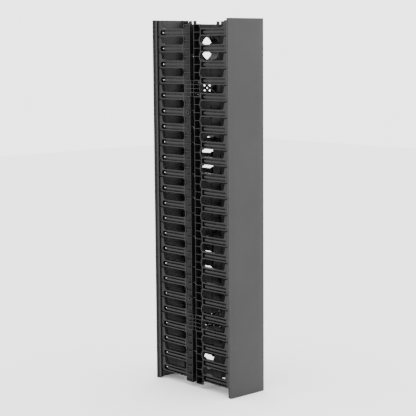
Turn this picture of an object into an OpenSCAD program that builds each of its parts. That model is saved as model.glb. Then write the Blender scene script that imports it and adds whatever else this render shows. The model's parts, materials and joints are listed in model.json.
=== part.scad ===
// Vertical cable manager, 22 rack units, fingers on both sides, front and rear.
// Frame: origin at the centre of the footprint, on the surface it stands on.
// -Y is the front, +Y the rear, +Z up. The body hangs between the two covers,
// which reach a little lower than it and carry it when it stands by itself.
// Each moulding is drawn once for the side x > 0, y > 0 and then mirrored.

/* [Rack grid] */
// Height of one rack unit, which is also the pitch of the fingers
unit = 44.45; // [40:0.01:50]
// Fingers on each of the two end mouldings
end_fingers = 4; // [3:1:5]
// Fingers on the middle moulding
mid_fingers = 15; // [13:2:19]

/* [Body] */
// Width across the outer faces of the finger walls
body_w = 114; // [104:1:130]
// Thickness of a finger wall, from its outer to its inner face
wall_w = 20; // [16:0.5:24]
// Thickness of the skin that closes each finger towards the trough
skin_t = 2.5; // [1.5:0.1:4]

/* [Spine] */
// Width of the mounting gap between the front and the rear mouldings
gap_w = 16; // [12:0.5:22]
// Depth of the ribbed rail, from the mounting gap to the finger openings
rail_d = 26; // [20:0.5:32]
// Thickness of the ridge along the edge of the mounting gap
ridge_t = 1.6; // [1:0.1:3]
// Height of the locating peg on top of each ridge
peg_h = 9; // [4:0.5:14]
// Thickness of the cross ribs in the rails and the splices
rib_t = 1.4; // [1:0.1:2.4]
// Thickness of the two web plates
web_t = 2.5; // [1.5:0.1:4]
// Distance from the edge of the mounting gap to the outer face of a web plate
web_set = 7; // [5:0.5:11]
// Thickness of the slanting flanks that join the webs to the finger walls
flank_t = 3; // [2:0.1:4]
// Depth of the solid strip between a flank and the outer face
strip_t = 5; // [3:0.5:7]
// Width of the shallow groove where the left and right web plates meet
seam_w = 4.4; // [2:0.2:8]
// Diameter of the locking holes along that seam
seam_hole_d = 7; // [4:0.5:10]

/* [Fingers] */
// Height of a finger
finger_h = 21; // [18:0.5:25]
// Thickness of the flanges along its top and bottom
flange_t = 3; // [2:0.1:4]
// Height of the rib along its middle
mid_rib_h = 5; // [3:0.1:7]
// Depth of the opening between two fingers, from the rail to the tips
reach = 99; // [80:1:120]
// Depth of a tip at its upper end
tip_d = 17.5; // [12:0.5:24]
// How far the inner edge of a tip leans back down to the finger
tip_lean = 3.5; // [0:0.5:6]
// Gap between the top of a tip and the finger above it, where cables slip in
tip_gap = 3.4; // [2:0.1:6]
// Corner radius of the openings on their rail side
cell_r = 9; // [4:0.5:10]
// Corner radius between a finger and its tip
tip_r = 8; // [3:0.5:10]
// Thickness of the rim round the openings
rim_t = 3; // [2:0.1:4]
// Depth of the pockets in the outer face of a finger
pocket_out = 9; // [6:0.5:11]
// Depth of the grooves in its inner face
pocket_in = 5; // [2:0.5:6]
// Length of the wide pocket at one end of each finger
pocket_l = 10; // [6:0.5:14]

/* [Pass-throughs] */
// Distance from the edge of a web plate to the openings through it
pass_in = 1; // [0.6:0.1:12]
// Height of the two long openings
pass_l = 137; // [100:1:150]
// Wall of the sleeve that lines each opening
sleeve_t = 2; // [1.2:0.1:3]
// Width of the sleeve's lip
lip_w = 0.6; // [0.4:0.1:0.8]
// Clearance round a sleeve in its opening
sleeve_fit = 0.2; // [0.1:0.05:0.4]

/* [Covers] */
// How far a cover reaches past the outer face of a finger wall
cover_over = 8; // [6:0.5:12]
// Height of a cover
cover_h = 1050; // [1040:1:1150]
// Thickness of a cover
cover_t = 3; // [2:0.1:4]
// Distance from the ends of the tips to the inside of a cover
cover_gap = 7.5; // [6:0.5:12]
// Width of the strips along both edges of a cover that slope back
bevel_w = 18; // [8:1:24]
// How far those strips slope back at the edge
bevel_d = 1; // [0:0.1:2]
// Height of the inner stiffening ribs of a cover
stiff_h = 4.5; // [2:0.5:5]

/* [Hinges] */
// Diameter of the round bead along each hinge rib of a cover
bead_d = 4; // [3:0.1:5]
// Running clearance round the bead in its hooks
bead_fit = 0.05; // [0.02:0.01:0.1]
// Thickness of a hinge rib
hinge_rib_t = 1.6; // [1.2:0.1:2]
// Distance from the outer face of a finger wall out to the centre of the bead
bead_out = 2.5; // [2.2:0.1:3]
// Distance from the end of the tips back to the centre of the bead
bead_back = 2.5; // [2:0.1:4]
// Wall thickness of the hooks
hook_t = 1.8; // [1.2:0.1:2.4]
// Height of a hook
hook_h = 6; // [4:0.5:9]
// Angle that a hook reaches round its bead
hook_wrap = 128; // [110:1:130]

/* [Fasteners] */
// Shank diameter of the assembly screws
screw_d = 4; // [3:0.1:5]
// Head diameter of the assembly screws
screw_head_d = 7.5; // [6:0.1:8.5]
// Head height of the assembly screws
screw_head_h = 2.2; // [1.5:0.1:3]
// Shank diameter of the smaller screws in the splices and web braces
splice_screw_d = 3; // [2.5:0.1:3.5]
// Head diameter of those smaller screws
splice_screw_head_d = 5.6; // [5:0.1:6]
// Clearance round a screw shank
screw_fit = 0.05; // [0.02:0.01:0.1]
// Distance from the edge of the mounting gap to the side mounting holes
mount_in = 11; // [9:0.5:14]
// Clearance hole for a rack mounting screw
mount_hole_d = 6.5; // [5:0.1:7]
// Outside diameter of the boss round it
mount_boss_d = 12; // [10:0.5:14]
// Head diameter of the rivets in the finger ends
rivet_d = 4.4; // [3.6:0.1:6]
// Shank diameter of those rivets
rivet_shank_d = 2.6; // [2:0.1:3]
// Height of a rivet head above the floor of its pocket
rivet_l = 5; // [3:0.5:6]

/* [Hidden] */
$fn = 48;
CUT = 1;
TINY = 0.01;
plastic = [0.13, 0.13, 0.14];
panel = [0.37, 0.37, 0.38];
metal = [0.75, 0.75, 0.76];

fingers = 2 * end_fingers + mid_fingers;
body_h = fingers * unit;
body_z = (cover_h - body_h) / 2;
body_top = body_z + body_h;

outer_x = body_w / 2;
inner_x = outer_x - wall_w;
skin_x = inner_x + skin_t;
// Inner line of a flank in plan, from the web to the finger openings
flank_x = outer_x - strip_t;
flank_run = flank_x - inner_x;

gap_y = gap_w / 2;
web_y = gap_y + web_set;
cell_y = gap_y + rail_d;
// Outer line of a flank, which the rail pockets and the splices follow
flank_slope = (cell_y - web_y) / flank_run;
flank_y = web_y + flank_slope * skin_t - flank_t * sqrt(1 + flank_slope * flank_slope);
pass_w = 2 * (inner_x - pass_in);
tip_y = cell_y + reach;
end_y = tip_y + tip_d;

cell_h = unit - finger_h;
corner_r = min(cell_r, cell_h / 2 - 0.5);
pocket_h = finger_h - 2 * flange_t;
// The wall that joins the rims of two neighbouring openings
bridge_y = cell_y + rim_t - 1;
bridge_t = 2.5;
root_y = bridge_y + bridge_t;
bar_y = tip_y + 2;

bead_x = outer_x + bead_out;
bead_y = end_y - bead_back;
cover_y = end_y + cover_gap;

// Levels are counted in rack units from the lowest finger
mid_first = end_fingers;
top_first = end_fingers + mid_fingers;
last = fingers - 1;
middle = last / 2;
round_levels = [1, last - 1];
slot_levels = [middle - 3, middle + 3];
seam_lock_levels = [middle - 5.6, middle - 0.6, middle + 0.6, middle + 5.6];
mount_levels = [middle - 6, middle + 6];
tie_levels = [1.5, middle - 6, middle - 5, middle - 4, middle - 2, middle - 0.5,
              middle + 0.5, middle + 2, middle + 4, middle + 5, middle + 6,
              last - 1.5];
splice_levels = [mid_first - 0.5, top_first - 0.5];

tab_t = 2.5;
// The tab reaches past the screw head, so the rib along its upper edge is clear of it
head_clear = 0.35;
tab_h = screw_head_d + 2 * (head_clear + rib_t);
tab_x = skin_x + 2;
tab_end = gap_y - 2;
splice_x = outer_x - 0.5;
splice_y = cell_y - 0.3;
splice_wall_y = gap_y - 2;
splice_screw_y = gap_y + 2.8;
splice_rows = 4;
// Height of its screws above and below the middle, in rack units
splice_screw_k = 1.5 / splice_rows;
boss_y = gap_y + mount_in;
rivet_y = tip_y - tip_lean - 2;
floor_x = outer_x - pocket_out;
rivet_shank_l = 3;
brace_x = inner_x - 5;
brace_z = unit / 2 + 4;
brace_t = 2.5;
brace_lap = 6;
brace_screw_in = 3;

function level(k) = body_z + unit * (k + 0.5);
function inside(k, a, b) = level(k) > a && level(k) < b;

// Places a drawing made in (depth, height) as a slab from x to x + t
module slab(x, t) {
    translate([x, 0, 0]) rotate([90, 0, 90]) linear_extrude(t) children();
}

// Places a drawing made in (width, height) as a plate from y to y + t
module plate(y, t) {
    translate([0, y + t, 0]) rotate([90, 0, 0]) linear_extrude(t) children();
}

module rect(a, b) {
    translate(a) square([b[0] - a[0], b[1] - a[1]]);
}

// Rectangle whose corners on its low side are rounded
module half_round_rect(a, b, r) {
    rect([a[0] + r, a[1]], b);
    rect([a[0], a[1] + r], [b[0], b[1] - r]);
    translate([a[0] + r, a[1] + r]) circle(r);
    translate([a[0] + r, b[1] - r]) circle(r);
}

// Opening between a finger, whose centre line is at 0, and a ceiling
module opening_2d(ceiling) {
    floor_z = finger_h / 2;
    r = min(corner_r, (ceiling - floor_z) / 2 - TINY);
    rt = min(tip_r, ceiling - floor_z - 1);
    foot_y = tip_y - tip_lean;
    slope = tip_lean / (ceiling - floor_z - rt);
    half_round_rect([cell_y, floor_z], [foot_y - rt, ceiling], r);
    translate([foot_y - rt, floor_z + rt]) circle(rt);
    // The leaning edge starts inside the round corner
    polygon([[foot_y - rt, floor_z + rt / 2], [foot_y - slope * rt / 2, floor_z + rt / 2],
             [tip_y, ceiling], [foot_y - rt, ceiling]]);
}

// The opening with the narrow slot that leads out past the tip
module cell_2d() {
    opening_2d(unit - finger_h / 2);
    rect([tip_y - 2, unit - finger_h / 2 - tip_gap], [end_y + CUT, unit - finger_h / 2]);
}

// Tip that stands up from the last finger of a moulding
module tip_2d() {
    difference() {
        rect([tip_y - tip_lean - tip_r, 0], [end_y, unit - finger_h / 2 - tip_gap]);
        cell_2d();
    }
}

// Outline of a finger wall with the fingers a to b and its rail from z0 to z1
module comb_2d(a, b, z0, z1) {
    difference() {
        union() {
            rect([gap_y, z0], [cell_y, z1]);
            rect([cell_y, level(a) - finger_h / 2], [end_y, level(b) + finger_h / 2]);
            translate([0, level(b)]) tip_2d();
        }
        for (k = [a : 1 : b - 1]) translate([0, level(k)]) cell_2d();
    }
}

// Outer pockets of a plain finger, wide at the rail end
module plain_pockets_2d() {
    rect([root_y, -pocket_h / 2], [root_y + pocket_l, pocket_h / 2]);
    groove_pair_2d(root_y + pocket_l - TINY, bar_y);
}

// Outer pockets of a riveted finger, wide and round at the tip end
module riveted_pockets_2d() {
    rect([rivet_y - pocket_l / 2, -pocket_h / 2], [rivet_y, pocket_h / 2]);
    translate([rivet_y, 0]) circle(pocket_h / 2);
    groove_pair_2d(root_y, rivet_y - pocket_l / 2 + TINY);
}

module groove_pair_2d(y0, y1) {
    rect([y0, mid_rib_h / 2], [y1, pocket_h / 2]);
    rect([y0, -pocket_h / 2], [y1, -mid_rib_h / 2]);
}

// The two pockets of a rail between one finger level and the next,
// with the rims of the openings left standing beside them
module rail_pockets_2d(k, z0, z1) {
    y0 = gap_y + ridge_t;
    for (half = [0, 1]) {
        low = max(level(k) + half * unit / 2 + rib_t / 2, z0 + ridge_t);
        high = min(level(k) + (half + 1) * unit / 2 - rib_t / 2, z1 - ridge_t);
        if (high - low > 2) difference() {
            rect([y0, low], [bridge_y, high]);
            for (n = [k - 1, k, k + 1]) translate([0, level(n)]) rim_2d();
        }
    }
}

// Outer outline of the rim round an opening
module rim_2d() {
    half_round_rect([cell_y - rim_t, finger_h / 2 - rim_t],
                    [bridge_y + CUT, unit - finger_h / 2 + rim_t], corner_r + rim_t);
}

// Narrow recess along the outer half of a tip
module tip_pocket_2d() {
    rect([end_y - 7, -2], [end_y - 2, unit - finger_h / 2 - tip_gap - 2.5]);
}

// Everything that is moulded into the outer face of a finger wall
module outer_pockets(a, b, z0, z1, riveted) {
    slab(floor_x, wall_w) for (k = [a : 1 : b]) translate([0, level(k)]) {
        if (riveted) riveted_pockets_2d();
        else plain_pockets_2d();
        tip_pocket_2d();
    }
    intersection() {
        slab(skin_x, wall_w) for (k = [a - 1 : 1 : b]) rail_pockets_2d(k, z0, z1);
        wedge(0);
    }
}

// Grooves that are moulded into its inner face
module inner_grooves(a, b) {
    slab(inner_x - CUT, pocket_in + CUT) for (k = [a : 1 : b]) translate([0, level(k)])
        groove_pair_2d(root_y, tip_y - tip_lean);
}

// Space outside the flanks, moved outwards by dx
module wedge(dx) {
    x = outer_x + 2;
    y = flank_y + flank_slope * (x - skin_x - dx);
    linear_extrude(cover_h) polygon([[skin_x + dx, -flank_y], [skin_x + dx, flank_y], [x, y], [x, -y]]);
}

// Part of the trough that lies behind the flank, from z0 to z1
module flank_space(z0, z1) {
    translate([0, 0, z0]) linear_extrude(z1 - z0)
        polygon([[inner_x - CUT, web_y], [inner_x, web_y], [flank_x, cell_y],
                 [flank_x, cell_y + CUT], [inner_x - CUT, cell_y + CUT]]);
}

// Plan of a flank with the strip beside the web
module flank_2d() {
    polygon([[inner_x, gap_y], [skin_x, gap_y], [skin_x, flank_y],
             [skin_x + (cell_y - flank_y) / flank_slope, cell_y], [flank_x, cell_y], [inner_x, web_y]]);
}

// Openings through the web plates, in (width, height)
module pass_2d(w, l) {
    for (s = [-1, 1]) translate([0, s * (l - w) / 2]) circle(d = w, $fn = 96);
    if (l > w) rect([-w / 2, -(l - w) / 2], [w / 2, (l - w) / 2]);
}

module web_cuts_2d() {
    for (k = round_levels) translate([0, level(k)]) pass_2d(pass_w + 2 * sleeve_fit, pass_w + 2 * sleeve_fit);
    for (k = slot_levels) translate([0, level(k)]) pass_2d(pass_w + 2 * sleeve_fit, pass_l + 2 * sleeve_fit);
    for (k = seam_lock_levels) translate([0, level(k)]) circle(d = seam_hole_d);
    for (k = splice_levels) translate([0, level(k)]) joint_window_2d();
}

// Window in the web at a joint, which the brace behind it fills
module joint_window_2d() {
    rect([brace_lap - brace_x, brace_lap - brace_z], [brace_x - brace_lap, brace_z - brace_lap]);
}

// Four windows that leave an X in a brace
module brace_windows_2d() {
    x = brace_x - brace_lap - 1;
    z = brace_z - brace_lap - 1;
    bar = 3;
    for (s = [-1, 1]) {
        polygon([[-x + bar, s * z], [x - bar, s * z], [0, s * bar]]);
        polygon([[s * x, -z + bar], [s * x, z - bar], [s * 2 * bar, 0]]);
    }
}

// One hook that holds the bead of a cover, on the outer face of a tip
module hook() {
    r = bead_d / 2 + bead_fit;
    ro = r + hook_t;
    translate([bead_x, bead_y, 0]) difference() {
        union() {
            intersection() {
                cylinder(r = ro, h = hook_h);
                translate([-2 * ro, -2 * ro, 0]) cube([4 * ro, 2 * ro, hook_h]);
            }
            translate([-bead_out - TINY, -ro, 0]) cube([bead_out - r + TINY, ro + bead_back, hook_h]);
        }
        translate([0, 0, -CUT]) cylinder(r = r, h = hook_h + 2 * CUT);
        // The mouth, behind the end of the wrap
        translate([0, 0, -CUT]) linear_extrude(hook_h + 2 * CUT)
            polygon([[0, 0], 3 * ro * [1, 0], 3 * ro * [1, -1], 
                     3 * ro * [cos(180 - hook_wrap), -sin(180 - hook_wrap)]]);
    }
}

// Outer cross tie over the mounting gap, from a plain moulding
module outer_tie() {
    translate([tab_x + tab_t, -tab_end, -tab_h / 2]) cube([tab_t, tab_end + gap_y + TINY, tab_h]);
    translate([tab_x + tab_t, -gap_y + 0.3, tab_h / 2 - rib_t])
        cube([outer_x - tab_x - tab_t - 3, 2 * gap_y - 0.3 + TINY, rib_t]);
}

// Inner cross tie, from a riveted moulding
module inner_tie() {
    translate([tab_x, -tab_end, -tab_h / 2]) cube([tab_t, tab_end + gap_y + TINY, tab_h]);
}

// One moulding: half of the web, a rail and a row of fingers.
// The fingers run from a to b, the rail from r0 to r1, web and flank from w0 to w1.
module comb(a, b, r0, r1, w0, w1, riveted) {
    color(plastic) difference() {
        union() {
            slab(inner_x, wall_w) comb_2d(a, b, r0, r1);
            translate([0, 0, w0]) linear_extrude(w1 - w0) flank_2d();
            plate(web_y - web_t, web_t) rect([0, w0], [inner_x + TINY, w1]);
            for (k = [a : 1 : b]) translate([0, 0, level(k) - finger_h / 2]) hook();
            for (k = tie_levels) if (inside(k, w0, w1)) translate([0, 0, level(k)])
                if (riveted) inner_tie();
                else outer_tie();
            if (b == last) ridge_peg();
        }
        difference() {
            outer_pockets(a, b, r0, r1, riveted);
            if (riveted) for (k = mount_levels) translate([0, boss_y, level(k)])
                rotate([0, 90, 0]) cylinder(d = mount_boss_d, h = outer_x);
        }
        inner_grooves(a, b);
        for (k = [a : 1 : b - 1]) flank_space(level(k) + finger_h / 2, level(k + 1) - finger_h / 2);
        if (a == 0) flank_space(w0 - CUT, level(a) - finger_h / 2);
        if (b == last) flank_space(level(b) + finger_h / 2, w1 + CUT);
        plate(web_y - web_t - CUT, web_t + 2 * CUT) intersection() {
            web_cuts_2d();
            rect([-CUT, w0 - CUT], [inner_x, w1 + CUT]);
        }
        translate([-CUT, web_y - 1, w0 - CUT]) cube([CUT + seam_w / 2, 1 + CUT, w1 - w0 + 2 * CUT]);
        for (k = tie_levels) if (inside(k, w0, w1)) side_hole(0, level(k), screw_d + 2 * screw_fit);
        for (k = splice_levels, s = [-1, 1]) if (inside(k + s * splice_screw_k, w0, w1)) {
            side_hole(splice_screw_y, level(k + s * splice_screw_k), splice_screw_d + 2 * screw_fit);
            brace_hole(level(k) + s * (brace_z - brace_screw_in));
        }
        if (riveted) {
            for (k = mount_levels) if (inside(k, w0, w1)) side_hole(boss_y, level(k), mount_hole_d);
            for (k = [a : 1 : b]) translate([floor_x - rivet_shank_l, rivet_y, level(k)])
                rotate([0, 90, 0]) cylinder(d = rivet_shank_d + 2 * screw_fit, h = wall_w);
        }
    }
}

module brace_hole(z) {
    translate([brace_x - brace_screw_in, 0, z]) rotate([-90, 0, 0])
        cylinder(d = splice_screw_d + 2 * screw_fit, h = web_y + CUT);
}

module side_hole(y, z, d) {
    translate([inner_x - CUT, y, z]) rotate([0, 90, 0]) cylinder(d = d, h = wall_w + 2 * CUT);
}

module ridge_peg() {
    translate([inner_x + wall_w / 2, gap_y, body_top - TINY]) cube([wall_w / 2, ridge_t + 1, peg_h + TINY]);
}

module bottom_comb(riveted) {
    comb(0, mid_first - 1, body_z, level(mid_first - 1), body_z, level(mid_first - 0.5), riveted);
}

module middle_comb(riveted) {
    comb(mid_first, top_first - 1, level(mid_first), level(top_first - 1),
         level(mid_first - 0.5), level(top_first - 0.5), riveted);
}

module top_comb(riveted) {
    comb(top_first, last, level(top_first), body_top, level(top_first - 0.5), body_top, riveted);
}

module left() {
    mirror([1, 0, 0]) children();
}

module front() {
    mirror([0, 1, 0]) children();
}

module front_left_bottom_comb() { left() front() bottom_comb(false); }
module front_left_middle_comb() { left() front() middle_comb(false); }
module front_left_top_comb() { left() front() top_comb(false); }
module front_right_bottom_comb() { front() bottom_comb(true); }
module front_right_middle_comb() { front() middle_comb(true); }
module front_right_top_comb() { front() top_comb(true); }
module rear_left_bottom_comb() { left() bottom_comb(true); }
module rear_left_middle_comb() { left() middle_comb(true); }
module rear_left_top_comb() { left() top_comb(true); }
module rear_right_bottom_comb() { bottom_comb(false); }
module rear_right_middle_comb() { middle_comb(false); }
module rear_right_top_comb() { top_comb(false); }

// Ribbed block that bridges the joint between two mouldings on one side
module splice(k) {
    row_h = unit / splice_rows;
    columns = [[-splice_y, -splice_wall_y], [-splice_wall_y, splice_wall_y], [splice_wall_y, splice_y]];
    color(plastic) difference() {
        intersection() {
            slab(skin_x, splice_x - skin_x) rect([-splice_y, level(k - 0.5)], [splice_y, level(k + 0.5)]);
            wedge(0);
        }
        intersection() {
            slab(skin_x + skin_t, wall_w) translate([0, level(k - 0.5)])
                for (i = [0 : splice_rows - 1], c = columns)
                    rect([c[0] + ridge_t / 2, i * row_h + rib_t / 2],
                         [c[1] - ridge_t / 2, (i + 1) * row_h - rib_t / 2]);
            wedge(skin_t);
        }
        for (s = [-1, 1], t = [-1, 1])
            side_hole(s * splice_screw_y, level(k + t * splice_screw_k), splice_screw_d + 2 * screw_fit);
    }
}

module lower_left_splice() { left() splice(splice_levels[0]); }
module lower_right_splice() { splice(splice_levels[0]); }
module upper_left_splice() { left() splice(splice_levels[1]); }
module upper_right_splice() { splice(splice_levels[1]); }

// Plate behind the webs that ties the left and right mouldings at a joint
module web_brace(k) {
    color(plastic) translate([0, 0, level(k)]) difference() {
        plate(web_y - web_t - brace_t, brace_t) rect([-brace_x, -brace_z], [brace_x, brace_z]);
        plate(0, web_y) brace_windows_2d();
        for (s = [-1, 1], t = [-1, 1]) translate([(s - 1) * (brace_x - brace_screw_in), 0, 0])
            brace_hole(t * (brace_z - brace_screw_in));
    }
}

module lower_front_web_brace() { front() web_brace(splice_levels[0]); }
module lower_rear_web_brace() { web_brace(splice_levels[0]); }
module upper_front_web_brace() { front() web_brace(splice_levels[1]); }
module upper_rear_web_brace() { web_brace(splice_levels[1]); }

// Sleeve that lines an opening from the front web plate to the rear one
module sleeve(k, l) {
    color(plastic) translate([0, 0, level(k)]) difference() {
        union() {
            plate(-web_y, 2 * web_y) pass_2d(pass_w, l);
            plate(-web_y - 1, 1) pass_2d(pass_w + 2 * lip_w, l + 2 * lip_w);
        }
        plate(-web_y - 2, 2 * web_y + 4) pass_2d(pass_w - 2 * sleeve_t, l - 2 * sleeve_t);
    }
}

module bottom_round_sleeve() { sleeve(round_levels[0], pass_w); }
module top_round_sleeve() { sleeve(round_levels[1], pass_w); }
module lower_slot_sleeve() { sleeve(slot_levels[0], pass_l); }
module upper_slot_sleeve() { sleeve(slot_levels[1], pass_l); }

// Pan head screw along +X with the underside of its head at x = 0
module screw(d, head_d, length) {
    color(metal) rotate([0, 90, 0]) {
        translate([0, 0, -length]) cylinder(d = d, h = length + TINY);
        cylinder(d1 = head_d, d2 = head_d * 0.7, h = screw_head_h, $fn = 32);
    }
}

module tie_screws() {
    for (k = tie_levels) translate([tab_x + 2 * tab_t, 0, level(k)]) screw(screw_d, screw_head_d, 2 * tab_t);
}

module splice_screws() {
    for (k = splice_levels, s = [-1, 1], t = [-1, 1])
        translate([skin_x + skin_t, s * splice_screw_y, level(k + t * splice_screw_k)])
            screw(splice_screw_d, splice_screw_head_d, 2 * skin_t);
}

module brace_screws() {
    for (k = splice_levels, s = [-1, 1], t = [-1, 1])
        translate([s * (brace_x - brace_screw_in), web_y, level(k) + t * (brace_z - brace_screw_in)])
            rotate([0, 0, 90]) screw(splice_screw_d, splice_screw_head_d, web_t + brace_t);
}

module finger_rivets() {
    color(metal) for (k = [0 : last]) translate([floor_x, rivet_y, level(k)]) rotate([0, 90, 0]) {
        translate([0, 0, -rivet_shank_l]) cylinder(d = rivet_shank_d, h = rivet_shank_l + TINY);
        cylinder(d = rivet_d, h = rivet_l - rivet_d / 2);
        translate([0, 0, rivet_l - rivet_d / 2]) sphere(d = rivet_d, $fn = 32);
    }
}

module left_tie_screws() { left() tie_screws(); }
module right_tie_screws() { tie_screws(); }
module left_splice_screws() { left() splice_screws(); }
module right_splice_screws() { splice_screws(); }
module front_brace_screws() { front() brace_screws(); }
module rear_brace_screws() { brace_screws(); }
module rear_left_finger_rivets() { left() finger_rivets(); }
module front_right_finger_rivets() { front() finger_rivets(); }

// Cover: a panel with sloping edges, a beaded hinge rib near each edge
// and two inner stiffening ribs, one profile over its whole height
module cover() {
    half = outer_x + cover_over;
    flat = half - bevel_w;
    out = cover_y + cover_t;
    color(panel) {
        linear_extrude(cover_h)
            polygon([[-half, out - bevel_d], [-flat, out], [flat, out], [half, out - bevel_d],
                     [half, cover_y - bevel_d], [flat, cover_y], [-flat, cover_y], [-half, cover_y - bevel_d]]);
        for (s = [-1, 1]) {
            translate([s * bead_x, bead_y, 0]) cylinder(d = bead_d, h = cover_h, $fn = 32);
            cover_rib(s * bead_x, bead_y);
            cover_rib(s * (flat - 1), cover_y - stiff_h);
        }
    }
}

// Rib on the inside of a cover, rooted half way into the panel
module cover_rib(x, y) {
    translate([x - hinge_rib_t / 2, y, 0]) cube([hinge_rib_t, cover_y + cover_t / 2 - bevel_d - y, cover_h]);
}

module front_cover() { front() cover(); }
module rear_cover() { cover(); }

front_left_bottom_comb();
front_left_middle_comb();
front_left_top_comb();
front_right_bottom_comb();
front_right_middle_comb();
front_right_top_comb();
rear_left_bottom_comb();
rear_left_middle_comb();
rear_left_top_comb();
rear_right_bottom_comb();
rear_right_middle_comb();
rear_right_top_comb();
lower_left_splice();
lower_right_splice();
upper_left_splice();
upper_right_splice();
lower_front_web_brace();
lower_rear_web_brace();
upper_front_web_brace();
upper_rear_web_brace();
bottom_round_sleeve();
lower_slot_sleeve();
upper_slot_sleeve();
top_round_sleeve();
left_tie_screws();
right_tie_screws();
left_splice_screws();
right_splice_screws();
front_brace_screws();
rear_brace_screws();
rear_left_finger_rivets();
front_right_finger_rivets();
front_cover();
rear_cover();
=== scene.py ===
"""Vertical cable manager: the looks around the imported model.

Metres, in the model's own frame: -Y is the front, +Z is up, and the object stands on z = 0.
"""

import json
from math import radians

import bpy
from mathutils import Matrix, Vector


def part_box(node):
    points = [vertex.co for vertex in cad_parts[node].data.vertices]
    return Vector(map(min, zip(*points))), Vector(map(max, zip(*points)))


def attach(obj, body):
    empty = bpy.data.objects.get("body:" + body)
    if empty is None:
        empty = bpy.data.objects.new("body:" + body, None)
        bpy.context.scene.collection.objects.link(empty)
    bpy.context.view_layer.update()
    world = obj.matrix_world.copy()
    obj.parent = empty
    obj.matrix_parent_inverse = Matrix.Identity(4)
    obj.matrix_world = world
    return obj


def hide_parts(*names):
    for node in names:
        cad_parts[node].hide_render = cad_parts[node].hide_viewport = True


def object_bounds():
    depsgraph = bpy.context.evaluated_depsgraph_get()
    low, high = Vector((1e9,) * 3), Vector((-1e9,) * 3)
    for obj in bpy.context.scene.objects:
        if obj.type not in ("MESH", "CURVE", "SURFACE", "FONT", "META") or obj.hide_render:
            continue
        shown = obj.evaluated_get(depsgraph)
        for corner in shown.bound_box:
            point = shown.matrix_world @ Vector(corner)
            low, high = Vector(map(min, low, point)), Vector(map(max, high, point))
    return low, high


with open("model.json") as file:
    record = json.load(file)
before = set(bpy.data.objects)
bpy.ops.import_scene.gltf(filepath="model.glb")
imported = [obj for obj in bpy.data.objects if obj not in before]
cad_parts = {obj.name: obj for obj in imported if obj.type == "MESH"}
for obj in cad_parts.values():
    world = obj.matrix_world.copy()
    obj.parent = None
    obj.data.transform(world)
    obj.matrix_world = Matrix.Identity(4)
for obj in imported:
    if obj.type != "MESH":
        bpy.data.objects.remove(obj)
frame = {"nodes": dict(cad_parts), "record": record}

CAD_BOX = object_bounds()
MM = 0.001

# Camera: a long lens, looking down a little from the front left
CAMERA_AT = Vector((-2.326, -2.576, 0.969))
CAMERA_YAW = radians(42.08)
CAMERA_PITCH = radians(7.43)
CAMERA_ROLL = radians(-0.43)
CAMERA_LENS = 105.9
SENSOR = 36.0

FLOOR_SIZE = 14.0

# Studio lamps: name, place, width and height in metres, and watts
LAMPS = (
    ("front_key", (0.6, -3.6, 1.9), 2.2, 2.2, 40),
    ("left_fill", (-3.4, 0.4, 1.2), 1.5, 2.0, 2),
    ("top_soft", (0.2, 0.3, 3.4), 2.5, 2.5, 10),
)
SURROUND_STRENGTH = 3.4


# ---------------------------------------------------------------- materials


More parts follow.
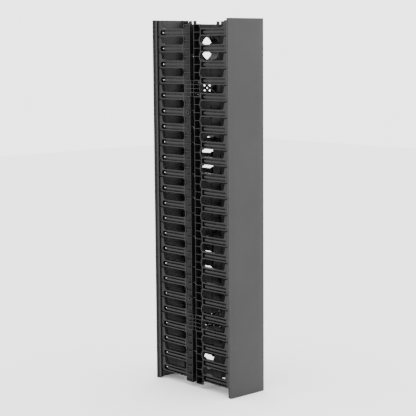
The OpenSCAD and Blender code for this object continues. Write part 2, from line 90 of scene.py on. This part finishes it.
class Nodes:
    """A material's node tree, with short calls for the nodes that are used here."""

    def __init__(self, name):
        self.material = bpy.data.materials.new(name)
        self.material.use_nodes = True
        self.tree = self.material.node_tree
        self.shader = self.tree.nodes["Principled BSDF"]
        self.place = self.tree.nodes.new("ShaderNodeTexCoord").outputs["Object"]

    def link(self, source, target):
        self.tree.links.new(source, target)

    def stretched(self, scale):
        """Object coordinates, scaled by a different factor along each axis."""
        node = self.tree.nodes.new("ShaderNodeMapping")
        node.inputs["Scale"].default_value = scale
        self.link(self.place, node.inputs["Vector"])
        return node.outputs["Vector"]

    def noise(self, scale, detail=2.0, vector=None):
        node = self.tree.nodes.new("ShaderNodeTexNoise")
        node.inputs["Scale"].default_value = scale
        node.inputs["Detail"].default_value = detail
        self.link(vector or self.place, node.inputs["Vector"])
        return node.outputs["Fac"]

    def ramp(self, value, low, high, start=0.3, end=0.7):
        """Maps value to a grey between low and high, or to a colour between two colours."""
        node = self.tree.nodes.new("ShaderNodeValToRGB")
        for stop, at, tone in zip(node.color_ramp.elements, (start, end), (low, high)):
            stop.position = at
            stop.color = (*tone, 1) if isinstance(tone, tuple) else (tone, tone, tone, 1)
        self.link(value, node.inputs["Fac"])
        return node.outputs["Color"]

    def math(self, operation, a, b):
        node = self.tree.nodes.new("ShaderNodeMath")
        node.operation = operation
        for socket, value in zip(node.inputs, (a, b)):
            if isinstance(value, float):
                socket.default_value = value
            else:
                self.link(value, socket)
        return node.outputs["Value"]

    def mix(self, factor, a, b):
        node = self.tree.nodes.new("ShaderNodeMix")
        node.data_type = "RGBA"
        colours = [s for s in node.inputs if s.type == "RGBA"]
        self.link(factor, node.inputs["Factor"])
        for socket, value in zip(colours, (a, b)):
            if isinstance(value, tuple):
                socket.default_value = (*value, 1)
            else:
                self.link(value, socket)
        return next(s for s in node.outputs if s.type == "RGBA")

    def bump(self, height, distance, strength=1.0, normal=None):
        node = self.tree.nodes.new("ShaderNodeBump")
        node.inputs["Distance"].default_value = distance
        node.inputs["Strength"].default_value = strength
        self.link(height, node.inputs["Height"])
        if normal:
            self.link(normal, node.inputs["Normal"])
        return node.outputs["Normal"]

    def edges(self, radius):
        """1 on edges of about that radius and 0 on flat faces, with the rounded normal."""
        round_off = self.tree.nodes.new("ShaderNodeBevel")
        round_off.samples = 4
        round_off.inputs["Radius"].default_value = radius
        shape = self.tree.nodes.new("ShaderNodeNewGeometry")
        dot = self.tree.nodes.new("ShaderNodeVectorMath")
        dot.operation = "DOT_PRODUCT"
        self.link(round_off.outputs["Normal"], dot.inputs[0])
        self.link(shape.outputs["Normal"], dot.inputs[1])
        mask = self.ramp(dot.outputs["Value"], 1.0, 0.0, 0.75, 0.97)
        return mask, round_off.outputs["Normal"]

    def finish(self, colour, roughness, normal, metallic=0.0, specular=0.5):
        self.link(colour, self.shader.inputs["Base Color"])
        self.link(roughness, self.shader.inputs["Roughness"])
        self.link(normal, self.shader.inputs["Normal"])
        self.shader.inputs["Metallic"].default_value = metallic
        self.shader.inputs["Specular IOR Level"].default_value = specular
        return self.material


def moulded_plastic():
    """Satin black moulding: soft tone patches, fine spark grain, and a painted highlight on the edges."""
    n = Nodes("black_moulded_plastic")
    edge, rounded = n.edges(0.5 * MM)
    patches = n.noise(14.0, 3.0)
    base = n.ramp(patches, (0.0030, 0.0030, 0.0032), (0.0050, 0.0050, 0.0053))
    # Painted highlight: the edges are lightened in the colour, in patches, to stand in for light caught
    # by rounded edges.
    painted_edge_highlight = n.mix(n.math("MULTIPLY", edge, n.ramp(n.noise(160.0), 0.25, 0.8)), base, (0.060, 0.060, 0.063))
    rough = n.ramp(n.noise(45.0, 4.0), 0.34, 0.46)
    grain = n.bump(n.noise(2600.0, 1.0), 0.03 * MM, 0.5, rounded)
    return n.finish(painted_edge_highlight, rough, grain, specular=0.2)


def cover_panel():
    """Charcoal extruded panel: fine drawing lines along its height over a matt grain, and a painted
    highlight on the edges.
    """
    n = Nodes("charcoal_cover_panel")
    edge, rounded = n.edges(0.4 * MM)
    patches = n.noise(5.0, 3.0)
    base = n.ramp(patches, (0.017, 0.017, 0.0175), (0.022, 0.022, 0.0227))
    # Painted highlight: the edges are lightened in the colour to stand in for light caught by rounded
    # edges.
    painted_edge_highlight = n.mix(n.math("MULTIPLY", edge, 0.5), base, (0.055, 0.055, 0.057))
    lines = n.noise(1.0, 3.0, n.stretched((900.0, 900.0, 1.2)))
    lines_half = n.math("MULTIPLY", lines, 0.5)
    clouds_half = n.math("MULTIPLY", n.noise(30.0), 0.5)
    rough = n.ramp(n.math("ADD", lines_half, clouds_half), 0.38, 0.52)
    drawn = n.bump(lines, 0.02 * MM, 0.35, rounded)
    grain = n.bump(n.noise(2200.0, 1.0), 0.02 * MM, 0.4, drawn)
    return n.finish(painted_edge_highlight, rough, grain, specular=0.25)


def zinc_plate():
    """Zinc plated screws: pale metal with faint blotches."""
    n = Nodes("zinc_plated_steel")
    _, rounded = n.edges(0.3 * MM)
    base = n.ramp(n.noise(420.0, 3.0), (0.60, 0.60, 0.60), (0.78, 0.78, 0.77))
    rough = n.ramp(n.noise(900.0), 0.24, 0.42)
    return n.finish(base, rough, n.bump(n.noise(3000.0), 0.01 * MM, 0.4, rounded), metallic=1.0)


def bright_rivet():
    """Polished rivet heads with a little handling haze."""
    n = Nodes("bright_rivet")
    _, rounded = n.edges(0.2 * MM)
    base = n.ramp(n.noise(300.0), (0.82, 0.82, 0.83), (0.92, 0.92, 0.92))
    rough = n.ramp(n.noise(700.0), 0.12, 0.24)
    return n.finish(base, rough, n.bump(n.noise(2500.0), 0.005 * MM, 0.3, rounded), metallic=1.0)


def pale_floor():
    n = Nodes("pale_studio_floor")
    base = n.ramp(n.noise(2.0, 2.0), (0.86, 0.86, 0.86), (0.88, 0.88, 0.88))
    rough = n.ramp(n.noise(5.0), 0.75, 0.85)
    return n.finish(base, rough, n.bump(n.noise(90.0), 0.1 * MM, 0.2), specular=0.2)


def paint_nodes():
    """Gives every node of the model the finish of its material slot."""
    finishes = {
        "black_plastic": moulded_plastic(),
        "cover_grey": cover_panel(),
        "zinc_steel": zinc_plate(),
        "bright_rivet": bright_rivet(),
    }
    slot_of = {part["node"]: part["material_slot"] for part in frame["record"]["subparts"]}
    for name, node in frame["nodes"].items():
        node.data.materials.clear()
        node.data.materials.append(finishes[slot_of[name]])


# ---------------------------------------------------------------- mouldings

# Corners of the model in plan, in millimetres, for x > 0 and y > 0
WEB_EDGE_X = 37.0
WEB_Y = 15.0
FLANK_END_X = 52.0
FINGER_ROOT_Y = 34.0
# The slimmed fingers' inner face, which leaves a floor behind their pockets
SLIM_FINGER_X = 45.5
# The cutter goes this far past the web's edge, past the tips and into the flank
PAST_WEB_X = 1.0
PAST_TIPS_Y = 152.0
INTO_FLANK = 0.1

# Plan of what is cleared in every comb: along the web, out along the flank,
# and along the inside of the fingers
TROUGH_PLAN = (
    (WEB_EDGE_X - PAST_WEB_X, WEB_Y),
    (WEB_EDGE_X + INTO_FLANK, WEB_Y),
    (FLANK_END_X + INTO_FLANK, FINGER_ROOT_Y),
    (SLIM_FINGER_X, FINGER_ROOT_Y),
    (SLIM_FINGER_X, PAST_TIPS_Y),
    (WEB_EDGE_X - PAST_WEB_X, PAST_TIPS_Y),
)


def trough_cutter(side_x, side_y, low, high):
    """A prism over the plan above, mirrored to one corner of the body."""
    plan = [(side_x * x * MM, side_y * y * MM) for x, y in TROUGH_PLAN]
    if side_x * side_y < 0:
        plan.reverse()
    count = len(plan)
    points = [(x, y, z) for z in (low, high) for x, y in plan]
    faces = [tuple(reversed(range(count))), tuple(range(count, 2 * count))]
    faces += [(i, (i + 1) % count, count + (i + 1) % count, count + i) for i in range(count)]
    mesh = bpy.data.meshes.new("trough_cutter")
    mesh.from_pydata(points, [], faces)
    cutter = bpy.data.objects.new("trough_cutter", mesh)
    bpy.context.collection.objects.link(cutter)
    return cutter


def slim_combs():
    """Stands in for each comb: the same moulding with slimmer fingers and a clear trough."""
    for name in [n for n in frame["nodes"] if n.endswith("_comb")]:
        low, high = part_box(name)
        side_x = -1 if "_left_" in name else 1
        side_y = -1 if name.startswith("front") else 1
        cutter = trough_cutter(side_x, side_y, low[2] - MM, high[2] + MM)
        source = bpy.data.objects.new(name + "_source", frame["nodes"][name].data.copy())
        bpy.context.collection.objects.link(source)
        cut = source.modifiers.new("cut", "BOOLEAN")
        cut.operation = "DIFFERENCE"
        cut.solver = "EXACT"
        cut.object = cutter
        bpy.context.view_layer.update()
        ready = source.evaluated_get(bpy.context.evaluated_depsgraph_get())
        mesh = bpy.data.meshes.new_from_object(ready)
        piece = bpy.data.objects.new(name + "_moulding", mesh)
        bpy.context.collection.objects.link(piece)
        for spare in (cutter, source):
            bpy.data.objects.remove(spare)
        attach(piece, "spine")
        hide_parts(name)


# ---------------------------------------------------------------- studio


def floor():
    bpy.ops.mesh.primitive_plane_add(size=FLOOR_SIZE)
    plane = bpy.context.object
    plane.name = "studio_floor"
    plane.data.materials.append(pale_floor())


def area_light(name, at, look_at, width, height, watts):
    data = bpy.data.lights.new(name, "AREA")
    data.shape = "RECTANGLE"
    data.size = width
    data.size_y = height
    data.energy = watts
    lamp = bpy.data.objects.new(name, data)
    bpy.context.collection.objects.link(lamp)
    lamp.location = at
    lamp.rotation_euler = (Vector(look_at) - Vector(at)).to_track_quat("-Z", "Y").to_euler()


def studio_light():
    middle = (0, 0, 0.5 * (CAD_BOX[0][2] + CAD_BOX[1][2]))
    for name, at, width, height, watts in LAMPS:
        area_light(name, at, middle, width, height, watts)
    world = bpy.data.worlds.new("studio_surround")
    world.use_nodes = True
    surround = world.node_tree.nodes["Background"]
    surround.inputs["Color"].default_value = (1.0, 1.0, 1.0, 1)
    surround.inputs["Strength"].default_value = SURROUND_STRENGTH
    bpy.context.scene.world = world


def camera():
    data = bpy.data.cameras.new("photo_camera")
    data.lens = CAMERA_LENS
    data.sensor_width = SENSOR
    cam = bpy.data.objects.new("photo_camera", data)
    bpy.context.collection.objects.link(cam)
    turn = Matrix.Rotation(-CAMERA_YAW, 4, "Z")
    tilt = Matrix.Rotation(radians(90) - CAMERA_PITCH, 4, "X")
    roll = Matrix.Rotation(CAMERA_ROLL, 4, "Z")
    cam.matrix_world = Matrix.Translation(CAMERA_AT) @ turn @ tilt @ roll
    bpy.context.scene.camera = cam


paint_nodes()
slim_combs()
floor()
studio_light()
camera()
